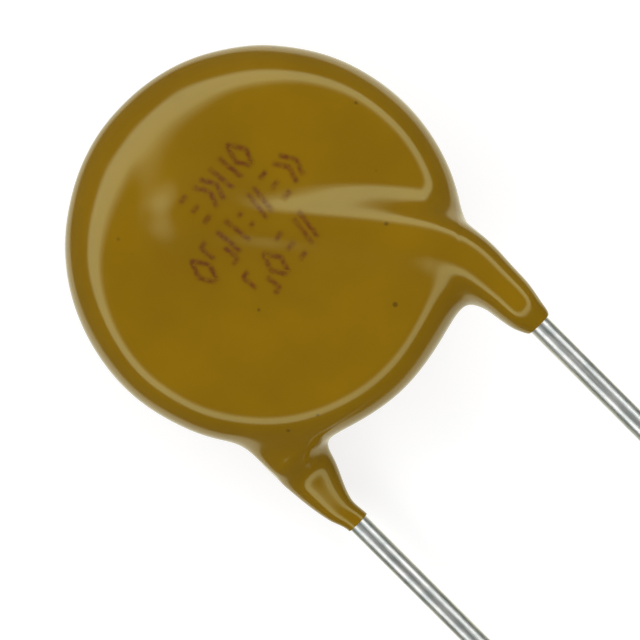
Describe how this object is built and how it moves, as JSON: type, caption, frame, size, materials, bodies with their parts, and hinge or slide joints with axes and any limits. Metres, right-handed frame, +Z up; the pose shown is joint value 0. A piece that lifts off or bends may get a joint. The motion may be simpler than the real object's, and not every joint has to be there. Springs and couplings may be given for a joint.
{
  "type": "metal oxide varistor",
  "caption": "Radial-lead disc varistor: a zinc oxide disc with soldered tinned wire leads, dipped in glossy ochre epoxy, which clamps voltage surges on a circuit board.",
  "frame": {"origin": "on the surface that the part lies on, under the middle of its box", "axes": "+Z up out of the marked face, leads running along -Y, X across the lead pitch"},
  "size_m": [0.0112, 0.038, 0.0045],
  "materials": {
    "epoxy": "glossy dipped epoxy",
    "ceramic": "fired, matt",
    "silver": "fired silver, satin",
    "solder": "reflowed, bright",
    "tinned_wire": "bright tinned copper, drawn"
  },
  "bodies": {
    "root": {"epoxy_coat": "epoxy", "zinc_oxide_disc": "ceramic", "front_electrode": "silver", "rear_electrode": "silver", "front_solder": "solder", "rear_solder": "solder", "front_lead": "tinned_wire", "rear_lead": "tinned_wire"}
  },
  "joints": []
}
